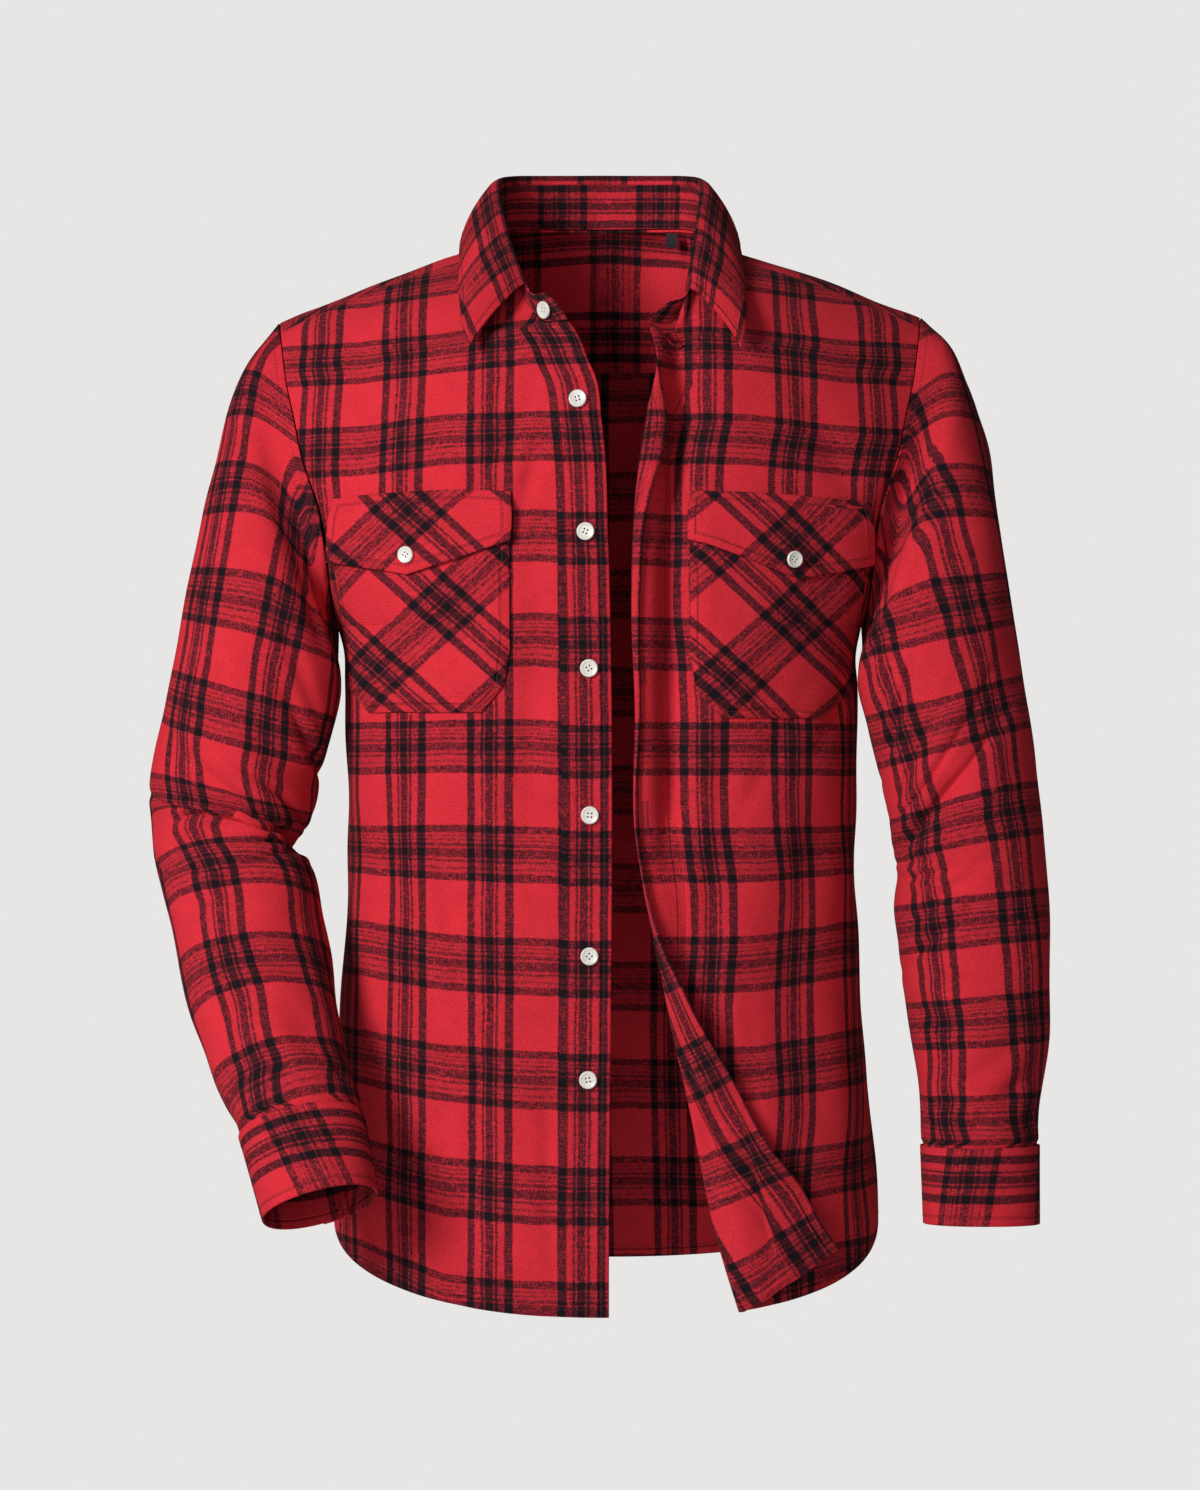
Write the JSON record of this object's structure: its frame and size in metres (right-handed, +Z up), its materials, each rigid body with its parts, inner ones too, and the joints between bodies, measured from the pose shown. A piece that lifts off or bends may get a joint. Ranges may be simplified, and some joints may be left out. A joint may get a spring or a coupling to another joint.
{
  "type": "flannel shirt",
  "caption": "Long-sleeved check flannel shirt worn open on no wearer: pointed collar, button placket, turned-back left front, flap chest pockets and buttoned cuffs.",
  "frame": {"origin": "between the shoulders at the base of the neck, where the wearer's neck and shoulders hold the shirt up", "axes": "+Z up, the wearer faces -Y, +X is the wearer's left; sizes in metres"},
  "size_m": [0.6516, 0.3305, 0.836],
  "materials": {
    "back": "brushed cotton flannel, red and black check",
    "yoke": "brushed cotton flannel, red and black check",
    "front_right": "brushed cotton flannel, red and black check",
    "front_left": "brushed cotton flannel, red and black check",
    "button_placket": "brushed cotton flannel, red and black check",
    "buttonhole_placket": "brushed cotton flannel, red and black check",
    "collar_stand": "brushed cotton flannel, red and black check",
    "collar_leaf": "brushed cotton flannel, red and black check",
    "sleeve_right": "brushed cotton flannel, red and black check",
    "sleeve_left": "brushed cotton flannel, red and black check",
    "cuff_right": "brushed cotton flannel, red and black check",
    "cuff_left": "brushed cotton flannel, red and black check",
    "cuff_button_right": "white pearl-look resin",
    "cuff_button_left": "white pearl-look resin",
    "pocket_right": "brushed cotton flannel, red and black check",
    "pocket_left": "brushed cotton flannel, red and black check",
    "pocket_flap_right": "brushed cotton flannel, red and black check",
    "pocket_flap_left": "brushed cotton flannel, red and black check",
    "pocket_button_right": "white pearl-look resin",
    "pocket_button_left": "white pearl-look resin",
    "button_1": "white pearl-look resin",
    "button_2": "white pearl-look resin",
    "button_3": "white pearl-look resin",
    "button_4": "white pearl-look resin",
    "button_5": "white pearl-look resin",
    "button_6": "white pearl-look resin",
    "button_7": "white pearl-look resin",
    "neck_label": "plain dark woven label"
  },
  "bodies": {
    "root": {"back": "back", "yoke": "yoke", "front_right": "front_right", "front_left": "front_left", "button_placket": "button_placket", "buttonhole_placket": "buttonhole_placket", "collar_stand": "collar_stand", "collar_leaf": "collar_leaf", "sleeve_right": "sleeve_right", "sleeve_left": "sleeve_left", "cuff_right": "cuff_right", "cuff_left": "cuff_left", "cuff_button_right": "cuff_button_right", "cuff_button_left": "cuff_button_left", "pocket_right": "pocket_right", "pocket_left": "pocket_left", "pocket_flap_right": "pocket_flap_right", "pocket_flap_left": "pocket_flap_left", "pocket_button_right": "pocket_button_right", "pocket_button_left": "pocket_button_left", "button_1": "button_1", "button_2": "button_2", "button_3": "button_3", "button_4": "button_4", "button_5": "button_5", "button_6": "button_6", "button_7": "button_7", "neck_label": "neck_label"}
  },
  "joints": []
}
